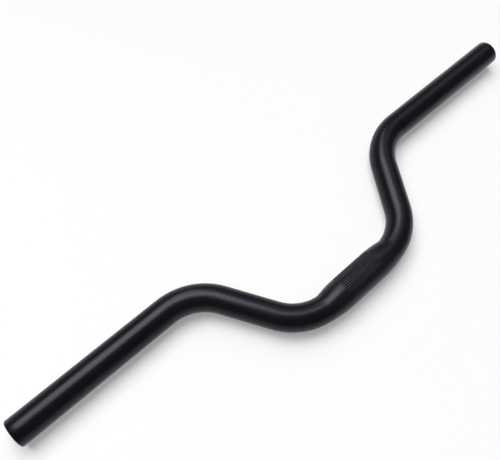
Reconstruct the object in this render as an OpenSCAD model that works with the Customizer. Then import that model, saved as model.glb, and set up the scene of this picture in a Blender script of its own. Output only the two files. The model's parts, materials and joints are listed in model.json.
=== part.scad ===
// Riser handlebar: one bent tube with a swaged and knurled clamp seat in its middle.
// It lies flat. +X runs along the clamp seat, +Y is the way the bar rises, +Z is up.
// The origin is the middle of the clamp seat, on the centreline of the tube.

/* [Tube] */
// Outside diameter of the tube, which is also the grip diameter
tube_d = 22.2; // [19:0.1:25.4]
// Wall thickness of the tube and of the seat; the end of each swage is thicker
wall = 1.8; // [1:0.1:3]
// Bevel on the outer edge of each cut end
end_bevel = 0.6; // [0.2:0.1:1]
// Bevel on the inner edge of each cut end
bore_bevel = 0.3; // [0.1:0.1:0.8]

/* [Clamp seat] */
// Outside diameter of the swaged seat that the stem closes on
seat_d = 26; // [24:0.1:32]
// Length of the straight seat
seat_len = 34; // [24:1:60]
// Length of the straight swage on each side, between the seat and the bend
swage_len = 14; // [10:1:40]
// How far round the outside of the bend the swage runs before it has sunk into the tube
swage_wrap = 8; // [5:0.5:12]

/* [Knurl] */
// Number of straight grooves, side by side over the top of the seat
groove_count = 28; // [12:2:36]
// Angle from each groove to the next
groove_pitch = 8; // [4:0.5:9.5]
// Depth of each groove
groove_depth = 0.4; // [0.1:0.05:0.6]
// Share of the pitch that the mouth of a groove takes
groove_share = 0.6; // [0.3:0.05:0.8]
// How far each groove runs out into the swage
groove_runout = 1; // [0.5:0.5:4]

/* [Bends] */
// Angle of the riser against the seat, which both bends turn through
riser_angle = 58; // [20:0.5:80]
// Radius of the inner bend, to the centreline
inner_bend_r = 46; // [35:1:90]
// Straight length of the riser between its two bends
riser_len = 41.5; // [10:0.5:120]
// Radius of the outer bend, to the centreline
outer_bend_r = 46; // [35:1:90]
// How much the tube radius draws in round a bend
bend_draw = 0.02; // [0.01:0.01:0.2]
// Straight length of each grip seat, out to the cut end
grip_len = 131.5; // [90:0.5:260]

/* [Part] */
// Which sub-part to show

/* [Hidden] */
$fn = 96;
tube_r = tube_d / 2;
seat_r = seat_d / 2;
lap = 0.5; // each straight runs this far into the bend that joins it
dive = 4; // the outer swage runs on this far inside the bend
groove_half = groove_pitch * groove_share / 2;

// Half profile of the swage's outer skin from z = 0: one long arc that rolls off the seat and
// dives into the bend. It meets the outside of the bend swage_wrap degrees round it.
module outer_swage() {
    reach = inner_bend_r + tube_r - bend_draw;
    run = swage_len + reach * sin(swage_wrap);
    drop = seat_r + inner_bend_r - reach * cos(swage_wrap);
    arc_r = ceil(100 * (run * run + drop * drop) / (2 * drop)) / 100;
    intersection() {
        square([seat_r, run + dive]);
        translate([seat_r - arc_r, 0]) circle(r = arc_r, $fn = 720);
    }
}

// Half profile of the swage's hollow, which starts at z = 0 with radius a and ends at radius b:
// one arc rolls off the seat and a second one, of the same radius, runs out into the tube. The
// radius is a touch over the one at which the arcs would only touch, so that they cross just
// past halfway.
module inner_swage(a, b) {
    drop = a - b;
    half = swage_len / 2;
    arc_r = ceil(100.2 * (swage_len * swage_len + drop * drop) / (4 * drop)) / 100;
    intersection() {
        square([a, half + 1]);
        translate([a - arc_r, 0]) circle(r = arc_r, $fn = 720);
    }
    difference() {
        translate([0, half]) square([(a + b) / 2, half]);
        translate([b + arc_r, swage_len]) circle(r = arc_r, $fn = 720);
    }
}

// A bend that starts at the origin along +Z and turns towards +X.
module bend(radius, angle, tube) {
    translate([radius, 0, 0])
        rotate([90, 0, 180])
            rotate_extrude(angle = angle)
                translate([radius, 0]) circle(r = tube - bend_draw);
}

// Moves its children to the far end of such a bend.
module past_bend(radius, angle) {
    translate([radius, 0, 0])
        rotate([0, angle, 0])
            translate([-radius, 0, 0]) children();
}

// Half of the clamp seat with its swage, as a solid rod.
module seat_rod() {
    rotate_extrude() {
        square([seat_r, seat_len / 2]);
        translate([0, seat_len / 2]) outer_swage();
    }
}

// The hollow of the seat and of its swage.
module seat_hollow() {
    rotate_extrude() {
        square([seat_r - wall, seat_len / 2]);
        translate([0, seat_len / 2]) inner_swage(seat_r - wall, tube_r - wall);
        translate([0, seat_len / 2 + swage_len]) square([tube_r - wall, lap]);
    }
}

// The grip seat as a solid rod, cut square with a bevelled edge.
module grip_rod() {
    rotate_extrude()
        polygon([
            [0, -lap],
            [tube_r, -lap],
            [tube_r, grip_len - end_bevel],
            [tube_r - end_bevel, grip_len],
            [0, grip_len]
        ]);
}

// The hollow of the grip seat, which opens out at the cut end.
module grip_hollow() {
    bore_r = tube_r - wall;
    rotate_extrude()
        polygon([
            [0, -lap],
            [bore_r, -lap],
            [bore_r, grip_len - bore_bevel],
            [bore_r + bore_bevel + 1, grip_len + 1],
            [0, grip_len + 1]
        ]);
}

// One half of the bar as a solid rod of radius r, carried from bend to bend. Its first child is
// the rod for the clamp seat and its second one the rod for the grip seat.
module half_rod(r) {
    children(0);
    translate([0, 0, seat_len / 2 + swage_len]) {
        bend(inner_bend_r, riser_angle, r);
        past_bend(inner_bend_r, riser_angle) {
            translate([0, 0, -lap]) cylinder(h = riser_len + 2 * lap, r = r);
            translate([0, 0, riser_len])
                rotate([0, 0, 180]) {
                    bend(outer_bend_r, riser_angle, r);
                    past_bend(outer_bend_r, riser_angle) children(1);
                }
        }
    }
}

// Both halves, turned so that the seat lies along X and the bar rises along Y.
module both_halves(r) {
    for (side = [0, 1])
        mirror([side, 0, 0])
            rotate([90, 0, 90])
                half_rod(r) {
                    children(0);
                    children(1);
                }
}

// Straight V grooves over the side of the seat that faces the rise. The lands between them, and
// the plain rest of the seat, stay on the full seat radius.
module grooves() {
    out = 0.5;
    mouth = seat_r * sin(groove_half);
    sink = groove_depth - seat_r * (1 - cos(groove_half));
    slope = mouth / sink;
    rotate([90, 0, 90])
        for (i = [0 : groove_count - 1])
            rotate((i - (groove_count - 1) / 2) * groove_pitch)
                linear_extrude(seat_len + 2 * groove_runout, center = true)
                    polygon([
                        [seat_r - groove_depth, 0],
                        [seat_r + out, -slope * (groove_depth + out)],
                        [seat_r + out, slope * (groove_depth + out)]
                    ]);
}

// The whole bar: the rod, hollowed right through, with the knurl cut round its seat.
module bar() {
    color([0.03, 0.03, 0.035])
        difference() {
            both_halves(tube_r) {
                seat_rod();
                grip_rod();
            }
            both_halves(tube_r - wall) {
                seat_hollow();
                grip_hollow();
            }
            grooves();
        }
}

bar();
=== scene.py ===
"""A riser handlebar: one bent tube in satin black paint, with a knurled clamp seat.

Laid out as a Blender add-on and run as a script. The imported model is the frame, and the bar's
surface is worked out with numpy round the same centreline as the CAD.
"""

import json
import math

import bpy
import numpy as np
from mathutils import Matrix, Vector


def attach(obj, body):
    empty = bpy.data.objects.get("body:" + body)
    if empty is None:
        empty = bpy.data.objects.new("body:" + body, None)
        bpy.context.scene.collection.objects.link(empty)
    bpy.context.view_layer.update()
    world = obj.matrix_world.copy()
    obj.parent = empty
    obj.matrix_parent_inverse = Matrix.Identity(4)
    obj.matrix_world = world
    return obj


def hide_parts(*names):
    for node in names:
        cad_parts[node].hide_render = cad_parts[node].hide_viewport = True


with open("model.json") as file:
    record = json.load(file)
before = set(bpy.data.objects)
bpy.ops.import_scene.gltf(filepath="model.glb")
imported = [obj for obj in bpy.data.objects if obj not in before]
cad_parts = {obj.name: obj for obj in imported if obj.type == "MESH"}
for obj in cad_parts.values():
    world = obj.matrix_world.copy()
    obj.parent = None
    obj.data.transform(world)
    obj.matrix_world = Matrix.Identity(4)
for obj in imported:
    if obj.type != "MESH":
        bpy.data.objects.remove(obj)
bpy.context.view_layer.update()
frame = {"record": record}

MM = 0.001
MOUNTS = {m["name"]: m for m in frame["record"]["mounts"]}
SEAT = MOUNTS["stem_clamp"]["dims"]
GRIP = MOUNTS["right_grip_seat"]["dims"]
BORE = MOUNTS["right_end_bore"]["dims"]

# Edges at which two faces meet at more than this angle are shaded as corners.
SHARP = math.radians(28)

# Columns of the mesh to one pitch of the knurl. They lie at these shares of half the mouth, on
# both sides of a groove's middle, with one more column halfway between two grooves.
PITCH_COLUMNS = 12
COLUMN_SHARES = (0.0, 1 / 3, 2 / 3, 1.0, 1 + 1 / 12, 1 + 1 / 3)

# Slow waves in the depth of the grooves: radians to the metre, and the shift from groove to groove.
DEPTH_WAVES = ((210, 2.4), (95, 5.1))
# How fast the depth changes from one whole groove to the next.
GROOVE_WAVES = (12.9898, 4.1414)

# Where the rubbed crest beside a groove lies, and how far it fades out, in halves of the mouth,
# with its wear. The crest's lighter colour is partly real wear and partly a painted highlight,
# the glint along each crest.
CREST_AT, CREST_REACH, CREST_WEAR_AND_GLINT = 1.08, 0.3, 0.95

# Rings over the bevels of a cut end, with their wear. Outside they are (back from the end, in from
# the skin) in shares of the end bevel, and inside (back from the end, out from the bore) in shares
# of the bore bevel. The corners are eased.
OUTER_CORNER = (
    (0.9475, 0.02, 0.25), (0.8, 0.16, 0.5), (0.5, 0.48, 0.8),
    (0.2, 0.82, 0.9), (0.0175, 0.97, 0.8), (0.0, 1.1, 0.6),
)
FACE_WEAR = 0.5
INNER_CORNER = ((0.0, 1.1, 0.6), (0.1, 0.9, 0.6), (0.5, 0.5, 0.4), (1.0, 0.0, 0.2))

# Steps out from the centreline to the swage's skin. The gap is gone long before the last one.
SWAGE_ROUNDS = 8

# The film round the seat is lighter and duller, and fades to the plain one over this many swage
# lengths.
SEAT_FILM_REACH = 2.2

# The floor is flat out to this distance in metres, and then turns up into a low wall.
FLOOR_REACH = 7.0
WALL_RUN = 2.0
WALL_RISE = 1.4

# The white that is added to the floor grows with the distance from under the overhead softbox.
LIFT_CENTRE = (0.12, 0.6, 0.0)
LIFT_NEAR, LIFT_FAR = 0.15, 0.85

# Softboxes: azimuth and elevation in degrees, distance, width and height in metres, and the
# setting that holds their brightness.
SOFTBOXES = {
    "overhead_softbox": (96, 68, 1.8, 1.37, 1.28, "key"),
    "softbox_skirt": (66, 40, 1.7, 0.4, 0.4, "skirt"),
    "side_softbox": (20, 45, 1.7, 0.8, 0.8, "fill"),
}
SOFTBOX_TARGET = (0.0, 0.04, 0.0)
ROOM_COLOUR = (0.9, 0.93, 1.0)

bl_info = {
    "name": "Riser handlebar",
    "version": (1, 0, 0),
    "blender": (4, 5, 0),
    "location": "3D View > Sidebar > Handlebar",
    "description": "Builds a painted riser handlebar and the studio it lies in",
    "category": "Object",
}


# Sizes and colours


def length(name, text, mm):
    """A length property in metres whose default is given in millimetres."""
    return bpy.props.FloatProperty(
        name=name, description=text, default=mm * MM, min=0.0, unit="LENGTH", precision=5
    )


def coordinate(name, text, mm):
    """A coordinate property in metres whose default is given in millimetres."""
    return bpy.props.FloatProperty(
        name=name, description=text, default=mm * MM, unit="LENGTH", precision=5
    )


def angle(name, text, degrees):
    """An angle property whose default is given in degrees."""
    return bpy.props.FloatProperty(
        name=name, description=text, default=math.radians(degrees), subtype="ANGLE"
    )


def share(name, text, value):
    """A property between 0 and 1."""
    return bpy.props.FloatProperty(
        name=name, description=text, default=value, min=0.0, max=1.0, precision=4, subtype="FACTOR"
    )


def brightness(name, text, value):
    """A radiance, at which 1 is white."""
    return bpy.props.FloatProperty(name=name, description=text, default=value, min=0.0, precision=3)


def colour(name, text, rgb):
    """A colour property in linear light."""
    return bpy.props.FloatVectorProperty(
        name=name, description=text, default=rgb, size=3, min=0.0, max=1.0, subtype="COLOR"
    )


class TubeSizes(bpy.types.PropertyGroup):
    seat_r: length("Seat radius", "Radius of the seat that the stem closes on", SEAT["r_mm"])
    seat_len: length("Seat length", "Straight length of the seat", SEAT["length_mm"])
    swage_len: length("Swage length", "Straight length between the seat and the inner bend", 14)
    swage_wrap: angle("Swage wrap", "How far round the outside of the bend the swage runs", 8)
    swage_blend: length("Swage blend", "Size of the soft corner where the swage meets the tube", 0.6)
    tube_r: length("Tube radius", "Outside radius of the tube and its grips", GRIP["r_mm"])
    bore_r: length("Bore radius", "Inside radius of the tube", BORE["r_mm"])
    bend_angle: angle("Riser angle", "Angle that each bend turns through", 58)
    inner_r: length("Inner bend", "Radius of the inner bend's centreline", 46)
    riser_len: length("Riser length", "Straight length of the riser", 41.5)
    outer_r: length("Outer bend", "Radius of the outer bend's centreline", 46)
    grip_len: length("Grip length", "Straight length of each grip seat", 131.5)
    end_bevel: length("End bevel", "Bevel on the outer edge of each cut end", 0.6)
    bore_bevel: length("Bore bevel", "Bevel on the inner edge of each cut end", 0.3)


class KnurlSizes(bpy.types.PropertyGroup):
    grooves: bpy.props.IntProperty(
        name="Grooves", description="Grooves side by side over the seat", default=28, min=2, max=36
    )
    pitch: angle("Pitch", "Angle from each groove to the next", 8)
    mouth: share("Mouth", "Share of the pitch that a groove's mouth takes", 0.6)
    depth: length("Depth", "Depth of each groove", 0.4)
    runout: length("Runout", "How far the grooves run past the seat", 1.0)
    unevenness: share("Unevenness", "How much the rolled grooves differ in depth", 0.3)
    per_pitch: bpy.props.IntProperty(
        name="Wide steps", description="Steps of the tube's mesh to one pitch",
        default=3, min=1, max=4,
    )


class PaintLook(bpy.types.PropertyGroup):
    deep: colour("Paint", "Colour of the paint film", (0.0050, 0.0047, 0.0072))
    thin: colour("Thin paint", "Colour where the film is thinner or dusty", (0.0085, 0.0080, 0.0115))
    # Colour of rubbed edges, which on the knurl's crests is also a painted highlight.
    worn_and_glint: colour("Worn edge", "Colour where an edge is rubbed", (0.085, 0.080, 0.085))
    # Colour of the lighter film round the seat.
    seat_film: colour("Handled paint", "Colour of the film round the seat", (0.0115, 0.0108, 0.0145))
    inside: colour("Inside", "Colour of the dusty film inside the tube", (0.016, 0.014, 0.013))
    sheen: colour("Sheen", "Tint of what the film mirrors head on", (0.88, 0.86, 1.0))
    ior: bpy.props.FloatProperty(
        name="IOR", description="Refractive index of the film", default=1.3, min=1.0, precision=3
    )
    roughness: share("Roughness", "Roughness of the satin film", 0.27)
    pooled: share("Pooled film", "Roughness that the film gains where it pools in a groove", 0.25)
    # Down in a groove the specular level is cut to this: painted shade.
    shaded: share("Shaded groove", "Specular level of the dull film down in a groove", 0.12)
    peel: length("Orange peel", "Width of the ripples in the film", 1.5)
    peel_depth: length("Peel depth", "Depth of the ripples in the film", 0.006)


class StudioLook(bpy.types.PropertyGroup):
    floor: colour("Floor", "Colour of the floor", (0.62, 0.62, 0.62))
    near: brightness("Near lift", "White added to the floor under the softbox", 0.14)
    far: brightness("Far lift", "White added to the floor away from the softbox", 0.38)
    key: brightness("Softbox", "Brightness of the face of the overhead softbox", 5.7)
    skirt: brightness("Skirt", "Brightness of the low edge of the overhead softbox", 3.2)
    fill: brightness("Side fill", "Brightness of the dim softbox at the right", 0.7)
    room: brightness("Room", "Brightness of the dim room", 0.08)


class CameraView(bpy.types.PropertyGroup):
    x: coordinate("X", "Where the camera stands along the seat", -178.253)
    y: coordinate("Y", "Where the camera stands along the rise", -42.280)
    z: coordinate("Z", "Height of the camera over the centreline", 420.061)
    heading: angle("Heading", "Way the camera looks, from +X towards +Y", 42.4571)
    down: angle("Downward tilt", "How far the camera looks down", 65.4544)
    roll: angle("Roll", "How far the picture is turned about its middle", -6.2393)
    lens: length("Lens", "Focal length for a 36 mm wide sensor", 40.98)


# The bar's centreline


def centreline(tube, s):
    """Points and tangent angles at the signed distances s along the bar from its middle.

    Each stretch of one half is a line or an arc. A point is the sum, over the stretches, of how
    far each one carries it within its own length: t times the heading on a line, and the usual
    sine and cosine differences over the curvature on an arc. The other half mirrors in X.
    """
    run = np.abs(s)
    turn = tube.bend_angle
    stretches = (
        (tube.seat_len / 2 + tube.swage_len, 0.0),
        (tube.inner_r * turn, 1 / tube.inner_r),
        (tube.riser_len, 0.0),
        (tube.outer_r * turn, -1 / tube.outer_r),
        (tube.grip_len, 0.0),
    )
    x, y, heading = np.zeros_like(run), np.zeros_like(run), np.zeros_like(run)
    start, at = 0.0, 0.0
    for reach, bend in stretches:
        t = np.clip(run - start, 0.0, reach)
        if bend:
            x += (np.sin(at + bend * t) - math.sin(at)) / bend
            y += (math.cos(at) - np.cos(at + bend * t)) / bend
            heading += bend * t
        else:
            x += t * math.cos(at)
            y += t * math.sin(at)
        at += bend * reach
        start += reach
    side = np.where(s < 0, -1.0, 1.0)
    return np.stack([side * x, y], axis=-1), side * heading


def half_length(tube):
    """Distance along the centreline from the middle of the seat to a cut end."""
    return (
        tube.seat_len / 2 + tube.swage_len + tube.riser_len + tube.grip_len
        + (tube.inner_r + tube.outer_r) * tube.bend_angle
    )


def skin_radius(tube, s, phi):
    """Outer radius at distance s and angle phi, about the centreline.

    The swage is an arc turned round the seat's axis. Its radius is (run squared plus drop
    squared) over two drops, from the seat's end to a point swage_wrap round the outside of the
    bend. From a centreline point the skin is found by stepping out by the gap that is left to
    that arc. The larger of the swage and the tube counts, with a soft corner between them: where
    the two differ by less than the blend b, it adds (b minus the difference) squared over 4b.
    """
    reach = tube.inner_r + tube.tube_r
    run = tube.swage_len + reach * math.sin(tube.swage_wrap)
    drop = tube.seat_r + tube.inner_r - reach * math.cos(tube.swage_wrap)
    arc = (run**2 + drop**2) / (2 * drop)
    spine, heading = centreline(tube, np.abs(s))
    out_x, out_y, out_z = -np.cos(phi) * np.sin(heading), np.cos(phi) * np.cos(heading), np.sin(phi)
    swage = np.full(np.broadcast(s, phi).shape, tube.tube_r)
    for _ in range(SWAGE_ROUNDS):
        x = np.clip(spine[..., 0] + swage * out_x - tube.seat_len / 2, 0.0, 0.9 * arc)
        off_axis = np.hypot(spine[..., 1] + swage * out_y, swage * out_z)
        swage = swage + tube.seat_r - arc + np.sqrt(arc**2 - x**2) - off_axis
        swage = np.maximum(swage, 0.5 * tube.tube_r)
    near = np.abs(s) < tube.seat_len / 2 + tube.swage_len + 0.5 * tube.inner_r
    swage = np.where(near, swage, 0.5 * tube.tube_r)
    overlap = np.clip(tube.swage_blend - np.abs(swage - tube.tube_r), 0.0, None)
    return np.maximum(swage, tube.tube_r) + overlap**2 / (4 * tube.swage_blend)


def bore_radius(tube, s):
    """Inner radius at distance s: the seat's, then two tangent arcs of one radius, then the tube's.

    The arcs' radius is (length squared plus drop squared) over four drops.
    """
    z = np.clip(np.abs(s) - tube.seat_len / 2, 0.0, tube.swage_len)
    drop = tube.seat_r - tube.tube_r
    wide = tube.bore_r + drop
    arc = (tube.swage_len**2 + drop**2) / (4 * drop)
    off_seat = wide - arc + np.sqrt(arc**2 - np.minimum(z, tube.swage_len / 2) ** 2)
    left = np.minimum(tube.swage_len - z, tube.swage_len / 2)
    into_tube = tube.bore_r + arc - np.sqrt(arc**2 - left**2)
    return np.where(z < tube.swage_len / 2, off_seat, into_tube)


def place(tube, s, radius, phi):
    """Points at distance s, radius and angle phi round the tube, from +Y towards +Z.

    Each is the centreline's point plus radius times (cos phi times the normal that lies in the
    bar's plane, plus sin phi times Z). The arguments are arrays of one shape.
    """
    spine, heading = centreline(tube, s)
    x = spine[..., 0] - radius * np.cos(phi) * np.sin(heading)
    y = spine[..., 1] + radius * np.cos(phi) * np.cos(heading)
    return np.stack([x, y, radius * np.sin(phi)], axis=-1)


# The bar's surface


def steps(*stops):
    """Rising values from (stop, spacing) pairs.

    Each stop but the first is reached in equal steps of about its spacing.
    """
    values = [np.array([stops[0][0]])]
    for (low, _), (high, spacing) in zip(stops, stops[1:]):
        n = max(1, int(round((high - low) / spacing)))
        values.append(np.linspace(low, high, n + 1)[1:])
    return np.concatenate(values)


def stretch_ends(tube):
    """Distances at which the swage, the inner bend, the riser and the outer bend end."""
    lengths = (
        tube.seat_len / 2 + tube.swage_len, tube.inner_r * tube.bend_angle,
        tube.riser_len, tube.outer_r * tube.bend_angle,
    )
    return np.cumsum(lengths)


def outer_rows(tube, knurl):
    """Distances of the rings from just past the knurl out to the start of the end bevel."""
    start = tube.seat_len / 2 + knurl.runout + 0.3 * MM
    swage, inner, riser, outer = stretch_ends(tube)
    bevel = half_length(tube) - tube.end_bevel
    return steps(
        (start, 0), (swage, 0.8 * MM), (inner, 1.3 * MM), (riser, 4 * MM), (outer, 1.3 * MM),
        (bevel, 6 * MM),
    )


def end_profile(tube):
    """(distance, radius, wear) rings over a cut end: bevel, square face and bore mouth."""
    tip = half_length(tube)
    back, sunk, wear = np.array(OUTER_CORNER).T
    bore_back, raised, bore_wear = np.array(INNER_CORNER).T
    face = (tube.tube_r - tube.end_bevel + tube.bore_r + tube.bore_bevel) / 2
    s = np.concatenate([tip - back * tube.end_bevel, [tip], tip - bore_back * tube.bore_bevel])
    r = np.concatenate([
        tube.tube_r - sunk * tube.end_bevel, [face], tube.bore_r + raised * tube.bore_bevel,
    ])
    return s, r, np.concatenate([wear, [FACE_WEAR], bore_wear])


def bore_rows(tube):
    """Distances of the bore's rings, from the seat's end out to just inside the mouth."""
    swage, inner, riser, outer = stretch_ends(tube)
    mouth = half_length(tube) - 2 * MM
    return steps(
        (tube.seat_len / 2, 0), (swage, 2 * MM), (inner, 2.5 * MM), (riser, 10 * MM),
        (outer, 2.5 * MM), (mouth, 12 * MM),
    )


def knurl_columns(knurl):
    """Angles round the seat: PITCH_COLUMNS to each pitch of the knurl, and per_pitch elsewhere.

    Returns the angles, how far each lies from its groove's middle as a share of half the mouth
    (over 1 on a land, infinite off the knurl), its groove's number, and how many of the angles
    are on the knurl.
    """
    half_mouth = knurl.mouth * knurl.pitch / 2
    right = np.array(COLUMN_SHARES) * half_mouth
    offsets = np.concatenate([[-knurl.pitch / 2], -right[:0:-1], right])
    first = -(knurl.grooves - 1) / 2 * knurl.pitch
    number = np.repeat(np.arange(knurl.grooves), PITCH_COLUMNS)
    fine = first + number * knurl.pitch + np.tile(offsets, knurl.grooves)
    inside = np.tile(np.abs(offsets) / half_mouth, knurl.grooves)
    edge = knurl.grooves * knurl.pitch / 2
    plain_n = int(round((2 * math.pi - 2 * edge) / (knurl.pitch / knurl.per_pitch)))
    plain = edge + np.arange(plain_n) * (2 * math.pi - 2 * edge) / plain_n
    return (
        np.concatenate([fine, plain]),
        np.concatenate([inside, np.full(plain_n, np.inf)]),
        np.concatenate([number, np.zeros(plain_n, int)]),
        len(fine),
    )


def knurl_grid(tube, knurl):
    """Rings over the knurled seat: distances, radii, angles, wear and groove depth as grids.

    A groove's floor lies its depth below the seat in the middle and meets the seat's surface at
    its mouth, so its depth falls off in a straight line with the distance from the middle. Slow
    sine waves, different for each groove, make the depth of the rolled grooves uneven. The crest
    just beside each mouth is the part that the stem rubs. Its wear also carries a painted
    highlight, the glint along each crest.
    """
    reach = tube.seat_len / 2 + knurl.runout
    # the last rings are close together, round the steep ends of the grooves
    half = steps((0.0, 0), (reach - 2.4 * MM, 1.1 * MM), (reach - 0.2 * MM, 0.4 * MM))
    half = np.concatenate([half, [reach, reach + 0.12 * MM, reach + 0.3 * MM]])
    s = np.concatenate([-half[::-1], half[1:]])
    phi, inside, number, fine_n = knurl_columns(knurl)
    grid_s, grid_phi = np.meshgrid(s, phi, indexing="ij")
    grid_in = np.broadcast_to(inside, grid_s.shape)
    grid_no = np.broadcast_to(number, grid_s.shape).astype(float)
    slow = sum(np.sin(grid_s * rate + grid_no * shift) for rate, shift in DEPTH_WAVES) / 2
    own = sum(np.sin(grid_no * rate) for rate in GROOVE_WAVES) / 2
    depth = knurl.depth * (1 - knurl.unevenness * (0.35 + 0.3 * slow + 0.35 * own))
    run = np.clip((reach - np.abs(grid_s)) / (0.2 * MM), 0.0, 1.0)
    # a straight flank from the floor up to the mouth, measured below the round seat
    sunk = run * np.clip(1 - grid_in, 0.0, 1.0)
    radius = skin_radius(tube, grid_s, grid_phi) - depth * sunk
    crest = np.clip(1 - np.abs(grid_in - CREST_AT) / CREST_REACH, 0.0, 1.0) * run
    # the crest's lighter colour is partly wear and partly a painted highlight, the glint along each
    # crest
    wear = CREST_WEAR_AND_GLINT * crest * (0.6 + 0.4 * slow)
    return grid_s, radius, grid_phi, wear, sunk, fine_n


def ring_quads(rows):
    """Quads between neighbouring rings, which each close on themselves.

    rows is a grid of vertex numbers with one ring to a row.
    """
    a, b = rows[:-1], rows[1:]
    return np.stack([a, np.roll(a, -1, 1), np.roll(b, -1, 1), b], axis=-1).reshape(-1, 4)


def fan_between(fine, coarse, per_step, knurled, flip):
    """Triangles from a fine ring to a coarse ring, and quads where the two have the same spacing.

    Over the knurl, which takes the first vertices of the fine ring, each coarse step faces
    per_step fine steps. The first half of those fan from the step's first coarse vertex and the
    rest from its second, with one triangle between.
    """
    steps_n = knurled // per_step
    fine_all = np.append(fine, fine[0])
    coarse_all = np.append(coarse, coarse[0])
    k = np.arange(steps_n)
    half = per_step // 2
    j = np.arange(per_step)
    f0 = fine_all[k[:, None] * per_step + j]
    f1 = fine_all[k[:, None] * per_step + j + 1]
    owner = np.where(j < half, coarse_all[k][:, None], coarse_all[k + 1][:, None])
    fans = np.stack([f0, f1, owner], -1).reshape(-1, 3)
    middle = np.stack([coarse_all[k], fine_all[k * per_step + half], coarse_all[k + 1]], -1)
    p = np.arange(len(coarse) - steps_n)
    quads = np.stack([
        fine_all[knurled + p], fine_all[knurled + p + 1],
        coarse_all[steps_n + p + 1], coarse_all[steps_n + p],
    ], -1)
    tris = np.concatenate([fans, middle])
    if flip:
        tris, quads = tris[:, ::-1], quads[:, ::-1]
    return tris, quads


def mesh_from(name, points, quads, tris):
    """A smooth-shaded mesh object from arrays of vertices, quads and triangles."""
    mesh = bpy.data.meshes.new(name)
    loops = np.concatenate([quads.ravel(), tris.ravel()]).astype(np.int32)
    sizes = np.concatenate([np.full(len(quads), 4), np.full(len(tris), 3)])
    starts = np.concatenate([[0], np.cumsum(sizes)[:-1]]).astype(np.int32)
    mesh.vertices.add(len(points))
    mesh.vertices.foreach_set("co", points.astype(np.float32).ravel())
    mesh.loops.add(len(loops))
    mesh.loops.foreach_set("vertex_index", loops)
    mesh.polygons.add(len(sizes))
    mesh.polygons.foreach_set("loop_start", starts)
    mesh.polygons.foreach_set("use_smooth", np.ones(len(sizes), bool))
    mesh.update(calc_edges=True)
    mesh.validate()
    mesh.set_sharp_from_angle(angle=SHARP)
    piece = bpy.data.objects.new(name, mesh)
    bpy.context.scene.collection.objects.link(piece)
    return piece


def float_attribute(mesh, name, values):
    """Stores one number per vertex for the material to read."""
    layer = mesh.attributes.new(name, "FLOAT", "POINT")
    layer.data.foreach_set("value", values.astype(np.float32))


def bar_surface(tube, knurl):
    """The whole bar as one closed surface.

    Rings run out from the knurled seat over the swage, bends and grip, round the cut end, and
    back through the bore, and the same on the other side, so that the last ring of one side's
    bore meets the other's. Every ring but the knurl's has the same coarse angles.
    """
    ks, kr, kphi, crest_wear_and_glint, ksunk, fine_n = knurl_grid(tube, knurl)
    per_step = PITCH_COLUMNS // knurl.per_pitch
    coarse_phi = np.concatenate([kphi[0, :fine_n:per_step], kphi[0, fine_n:]])
    outer = outer_rows(tube, knurl)[1:]
    end_s, end_r, end_wear = end_profile(tube)
    bore = bore_rows(tube)[::-1]
    s = np.concatenate([outer, end_s, bore])
    r = np.concatenate([np.zeros(len(outer)), end_r, bore_radius(tube, bore)])
    wear = np.concatenate([np.zeros(len(outer)), end_wear, np.zeros(len(bore))])
    inside = np.concatenate([
        np.zeros(len(outer)), np.linspace(0, 1, len(end_s)) ** 3, np.ones(len(bore)),
    ])
    gs, gphi = np.meshgrid(s, coarse_phi, indexing="ij")
    gr = np.repeat(r[:, None], gs.shape[1], axis=1)
    gr[: len(outer)] = skin_radius(tube, gs[: len(outer)], gphi[: len(outer)])
    right = place(tube, gs, gr, gphi)
    left = place(tube, -gs, gr, gphi)
    seat = place(tube, ks, kr, kphi)
    points = np.concatenate([seat.reshape(-1, 3), right.reshape(-1, 3), left.reshape(-1, 3)])
    seat_no = np.arange(ks.size).reshape(ks.shape)
    right_no = ks.size + np.arange(gs.size).reshape(gs.shape)
    left_no = right_no + gs.size
    # rings in order of rising s have their outward side on one hand, falling s on the other
    join_r = fan_between(seat_no[-1], right_no[0], per_step, fine_n, False)
    join_l = fan_between(seat_no[0], left_no[0], per_step, fine_n, True)
    through = np.stack([right_no[-1], left_no[-1]])
    quads = np.concatenate([
        ring_quads(seat_no), ring_quads(right_no), ring_quads(left_no)[:, ::-1],
        ring_quads(through), join_r[1], join_l[1],
    ])
    tris = np.concatenate([join_r[0], join_l[0]])
    piece = mesh_from("bar_skin", points, quads, tris)
    row_wear = np.broadcast_to(wear[:, None], gs.shape).ravel()
    row_in = np.broadcast_to(inside[:, None], gs.shape).ravel()
    past_seat = np.concatenate([np.abs(ks).ravel(), gs.ravel(), gs.ravel()]) - tube.seat_len / 2
    dull = 1 - np.clip(past_seat / (SEAT_FILM_REACH * tube.swage_len), 0.0, 1.0)
    # the wear mask: rubbed cut ends, and the knurl's crests, where it is also a painted highlight
    float_attribute(piece.data, "wear", np.concatenate([crest_wear_and_glint.ravel(), row_wear, row_wear]))
    float_attribute(piece.data, "inside", np.concatenate([np.zeros(ks.size), row_in, row_in]))
    float_attribute(piece.data, "sunk", np.concatenate([ksunk.ravel(), np.zeros(2 * gs.size)]))
    float_attribute(piece.data, "dull", dull)
    return piece


# Materials


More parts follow.
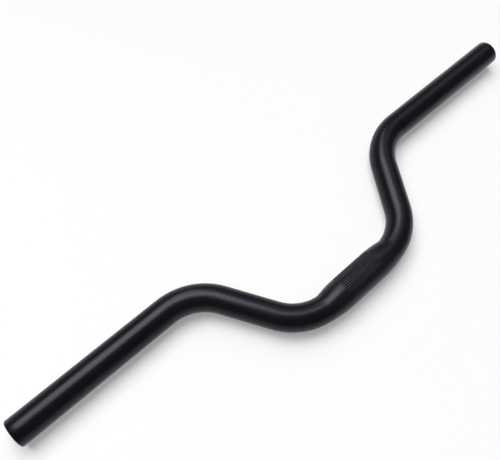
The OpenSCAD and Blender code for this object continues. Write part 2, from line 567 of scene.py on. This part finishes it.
class Nodes:
    """A short way to add nodes to a material or world and join them."""

    def __init__(self, owner):
        owner.use_nodes = True
        self.tree = owner.node_tree
        self.tree.nodes.clear()

    def feed(self, socket, value):
        """Links a socket to another one, or sets its value. A colour may come without its alpha."""
        if isinstance(value, bpy.types.NodeSocket):
            self.tree.links.new(value, socket)
        elif socket.type == "RGBA":
            socket.default_value = (*value, 1.0)
        else:
            socket.default_value = value

    def add(self, kind, inputs=None, **values):
        """A node with the given inputs, and with its properties set by name."""
        node = self.tree.nodes.new(kind)
        for key, value in values.items():
            setattr(node, key, value)
        for key, value in (inputs or {}).items():
            self.feed(node.inputs[key], value)
        return node

    def attribute(self, name):
        """The number that the mesh stores under a name."""
        return self.add("ShaderNodeAttribute", attribute_name=name).outputs["Fac"]

    def noise(self, at, waves, detail, roughness):
        """A noise value between 0 and 1 with the given number of waves to the metre."""
        node = self.add(
            "ShaderNodeTexNoise",
            inputs={"Vector": at, "Scale": waves, "Detail": detail, "Roughness": roughness},
        )
        return node.outputs["Fac"]

    def ramp(self, value, low, high, to_low, to_high):
        """value from low..high carried to to_low..to_high, and held at the ends."""
        inputs = {
            "Value": value, "From Min": low, "From Max": high, "To Min": to_low, "To Max": to_high,
        }
        return self.add("ShaderNodeMapRange", inputs).outputs["Result"]

    def mix(self, part, first, second):
        """A colour between first and second."""
        node = self.add("ShaderNodeMix", data_type="RGBA")
        for key, value in (("Factor_Float", part), ("A_Color", first), ("B_Color", second)):
            self.feed(next(i for i in node.inputs if i.identifier == key), value)
        return next(o for o in node.outputs if o.identifier == "Result_Color")

    def maths(self, operation, first, second):
        """first and second joined by a maths operation."""
        node = self.add("ShaderNodeMath", {0: first, 1: second}, operation=operation)
        return node.outputs[0]

    def finish(self, kind, shader):
        """Ends the tree in an output node of the given kind."""
        self.feed(self.add(kind).inputs["Surface"], shader)


def satin_black_paint(look):
    """Satin black paint over steel.

    The film is rippled and specked and cloudy in its gloss. It is lighter and duller round the
    seat, and darker and duller down in the grooves, which is pooled paint and painted shade. It
    is rubbed on its edges, where the knurl's lighter crests are also a painted highlight, and it
    is dusty inside the tube.
    """
    material = bpy.data.materials.new("satin_black_paint")
    n = Nodes(material)
    at = n.add("ShaderNodeTexCoord").outputs["Object"]
    wear, inside, dull, sunk = (n.attribute(name) for name in ("wear", "inside", "dull", "sunk"))

    cloud = n.noise(at, waves=22.0, detail=4.0, roughness=0.6)
    speck = n.noise(at, waves=2600.0, detail=2.0, roughness=0.5)
    rub_and_glint = n.noise(at, waves=420.0, detail=5.0, roughness=0.65)

    film = n.mix(n.ramp(cloud, 0.35, 0.7, 0.0, 0.6), look.deep, look.thin)
    film = n.mix(n.ramp(speck, 0.62, 0.78, 0.0, 0.35), film, look.thin)
    # the film is lighter round the seat, fading out over the swage
    film = n.mix(n.maths("MULTIPLY", dull, n.ramp(cloud, 0.3, 0.7, 0.75, 1.0)), film, look.seat_film)
    # rubbed edges; on the knurl's crests this lighter colour is also a painted highlight, the glint
    # along each crest
    rubbed = n.maths("MULTIPLY", wear, n.ramp(rub_and_glint, 0.38, 0.62, 0.35, 1.0))
    film = n.mix(rubbed, film, look.worn_and_glint)
    # down in a groove the film is darker: pooled paint and painted shade
    film = n.mix(sunk, film, look.deep)
    film = n.mix(inside, film, look.inside)

    gloss = n.ramp(cloud, 0.3, 0.7, look.roughness - 0.02, look.roughness + 0.03)
    gloss = n.maths("ADD", gloss, n.ramp(speck, 0.4, 0.8, 0.0, 0.04))
    for part, rougher in ((wear, 0.08), (dull, 0.02), (inside, 0.2), (sunk, look.pooled)):
        gloss = n.maths("ADD", gloss, n.maths("MULTIPLY", part, rougher))
    # the weaker mirror down in a groove is painted shade
    mirror = n.ramp(sunk, 0.0, 0.4, 0.5, look.shaded)

    ripples = n.noise(at, waves=1 / look.peel, detail=2.0, roughness=0.4)
    fine = n.noise(at, waves=5 / look.peel, detail=3.0, roughness=0.6)
    height = n.maths("ADD", ripples, n.maths("MULTIPLY", fine, 0.18))
    bump = n.add(
        "ShaderNodeBump", {"Strength": 1.0, "Distance": look.peel_depth, "Height": height}
    )
    shader = n.add(
        "ShaderNodeBsdfPrincipled",
        {
            "Base Color": film, "Roughness": gloss, "Normal": bump.outputs["Normal"],
            "IOR": look.ior, "Specular Tint": look.sheen, "Specular IOR Level": mirror,
        },
    )
    n.finish("ShaderNodeOutputMaterial", shader.outputs["BSDF"])
    return material


def pale_floor(look):
    """Pale matt floor. What the camera or a gloss sees of it is lifted towards white."""
    material = bpy.data.materials.new("pale_floor")
    n = Nodes(material)
    rays = n.add("ShaderNodeLightPath").outputs
    seen = n.maths("MAXIMUM", rays["Is Camera Ray"], rays["Is Glossy Ray"])
    seen = n.maths("MAXIMUM", seen, rays["Is Transmission Ray"])
    at = n.add("ShaderNodeTexCoord").outputs["Object"]
    away = n.add("ShaderNodeVectorMath", {0: at, 1: LIFT_CENTRE}, operation="DISTANCE")
    lift = n.ramp(away.outputs["Value"], LIFT_NEAR, LIFT_FAR, look.near, look.far)
    matt = n.add("ShaderNodeBsdfDiffuse", {"Color": look.floor})
    glow = n.add(
        "ShaderNodeEmission", {"Color": (1, 1, 1), "Strength": n.maths("MULTIPLY", seen, lift)}
    )
    both = n.add("ShaderNodeAddShader", {0: matt.outputs[0], 1: glow.outputs[0]})
    n.finish("ShaderNodeOutputMaterial", both.outputs[0])
    return material


# The studio


def cove(tube):
    """A round floor that turns up into a low wall: distances and heights spun round Z.

    The floor is flat and then rises along a quarter of an ellipse, to the wall's height.
    """
    flat = np.linspace(0.0, 1.0, 15) ** 1.6 * FLOOR_REACH
    t = np.linspace(0, math.pi / 2, 13)[1:]
    away = np.concatenate([flat[1:], FLOOR_REACH + WALL_RUN * np.sin(t)])
    up = np.concatenate([np.zeros(len(flat) - 1), WALL_RISE * (1 - np.cos(t))]) - tube.seat_r
    phi = np.linspace(0, 2 * math.pi, 97)[:-1]
    height = np.broadcast_to(up[:, None], (len(away), len(phi)))
    ring = np.stack([away[:, None] * np.cos(phi), away[:, None] * np.sin(phi), height], axis=-1)
    points = np.concatenate([ring.reshape(-1, 3), [[0.0, 0.0, -tube.seat_r]]])
    rows = np.arange(height.size).reshape(height.shape)
    quads = ring_quads(rows)[:, ::-1]
    hub = np.full(len(phi), len(points) - 1)
    tris = np.stack([hub, rows[0], np.roll(rows[0], -1)], axis=-1)
    return mesh_from("floor_cove", points, quads, tris)


def softbox(name, azimuth, elevation, distance, width, height, level):
    """A rectangular lamp that faces the bar, with a face of the given brightness.

    A face of brightness L and area A takes 4 L A watts. Azimuth is from +X towards +Y.
    """
    a, e = math.radians(azimuth), math.radians(elevation)
    away = Vector((math.cos(a) * math.cos(e), math.sin(a) * math.cos(e), math.sin(e)))
    data = bpy.data.lights.new(name, "AREA")
    data.shape = "RECTANGLE"
    data.size, data.size_y = width, height
    data.energy = 4 * level * width * height
    lamp = bpy.data.objects.new(name, data)
    lamp.location = Vector(SOFTBOX_TARGET) + away * distance
    lamp.rotation_mode = "QUATERNION"
    lamp.rotation_quaternion = away.to_track_quat("Z", "Y")
    bpy.context.scene.collection.objects.link(lamp)


def dim_room(look):
    """The weak, slightly cool light of the room round the softboxes."""
    world = bpy.data.worlds.new("dim_room")
    n = Nodes(world)
    sky = n.add("ShaderNodeBackground", {"Color": ROOM_COLOUR, "Strength": look.room})
    n.finish("ShaderNodeOutputWorld", sky.outputs[0])
    return world


def photo_camera(view):
    """The camera where the photograph was taken from.

    Its heading and its downward tilt give the way ahead. The picture's sides start out level,
    and then turn about the way ahead by the roll.
    """
    flat = Vector((math.cos(view.heading), math.sin(view.heading), 0.0))
    ahead = flat * math.cos(view.down) - Vector((0.0, 0.0, math.sin(view.down)))
    level = Vector((flat.y, -flat.x, 0.0))
    below = ahead.cross(level)
    right = level * math.cos(view.roll) + below * math.sin(view.roll)
    down = below * math.cos(view.roll) - level * math.sin(view.roll)
    data = bpy.data.cameras.new("photo_camera")
    data.sensor_width = 36.0
    data.lens = view.lens / MM
    data.clip_start, data.clip_end = 0.01, 30.0
    camera = bpy.data.objects.new("photo_camera", data)
    turn = Matrix((right, -down, -ahead)).transposed().to_4x4()
    camera.matrix_world = Matrix.Translation((view.x, view.y, view.z)) @ turn
    bpy.context.scene.collection.objects.link(camera)
    bpy.context.scene.camera = camera


# Operators, panel and run


class HANDLEBAR_OT_bar(bpy.types.Operator):
    """Build the bent, knurled and painted tube"""

    bl_idname = "handlebar.bar"
    bl_label = "Build the bar"

    def execute(self, context):
        scene = context.scene
        piece = bar_surface(scene.handlebar_tube, scene.handlebar_knurl)
        piece.data.materials.append(satin_black_paint(scene.handlebar_paint))
        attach(piece, "root")
        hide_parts("bar")
        return {"FINISHED"}


class HANDLEBAR_OT_studio(bpy.types.Operator):
    """Build the floor, the softboxes, the dim room and the camera"""

    bl_idname = "handlebar.studio"
    bl_label = "Build the studio"

    def execute(self, context):
        scene = context.scene
        look = scene.handlebar_studio
        floor = cove(scene.handlebar_tube)
        floor.data.materials.append(pale_floor(look))
        for name, (*spot, setting) in SOFTBOXES.items():
            softbox(name, *spot, getattr(look, setting))
        scene.world = dim_room(look)
        photo_camera(scene.handlebar_view)
        scene.view_settings.view_transform = "Standard"
        return {"FINISHED"}


class HANDLEBAR_PT_panel(bpy.types.Panel):
    """Lists the handlebar's builders and their sizes"""

    bl_idname = "HANDLEBAR_PT_panel"
    bl_label = "Riser handlebar"
    bl_space_type = "VIEW_3D"
    bl_region_type = "UI"
    bl_category = "Handlebar"

    def draw(self, context):
        for operator, groups in LISTED:
            box = self.layout.box()
            box.operator(operator)
            for group in groups:
                settings = getattr(context.scene, group)
                for name in settings.__annotations__:
                    box.prop(settings, name)


LISTED = (
    ("handlebar.bar", ("handlebar_tube", "handlebar_knurl", "handlebar_paint")),
    ("handlebar.studio", ("handlebar_studio", "handlebar_view")),
)
SETTINGS = {
    "handlebar_tube": TubeSizes,
    "handlebar_knurl": KnurlSizes,
    "handlebar_paint": PaintLook,
    "handlebar_studio": StudioLook,
    "handlebar_view": CameraView,
}
CLASSES = (*SETTINGS.values(), HANDLEBAR_OT_bar, HANDLEBAR_OT_studio, HANDLEBAR_PT_panel)


def register():
    for cls in CLASSES:
        bpy.utils.register_class(cls)
    for name, group in SETTINGS.items():
        setattr(bpy.types.Scene, name, bpy.props.PointerProperty(type=group))


def unregister():
    for name in SETTINGS:
        delattr(bpy.types.Scene, name)
    for cls in reversed(CLASSES):
        bpy.utils.unregister_class(cls)


def main():
    register()
    bpy.ops.handlebar.bar()
    bpy.ops.handlebar.studio()


if __name__ == "__main__":
    main()
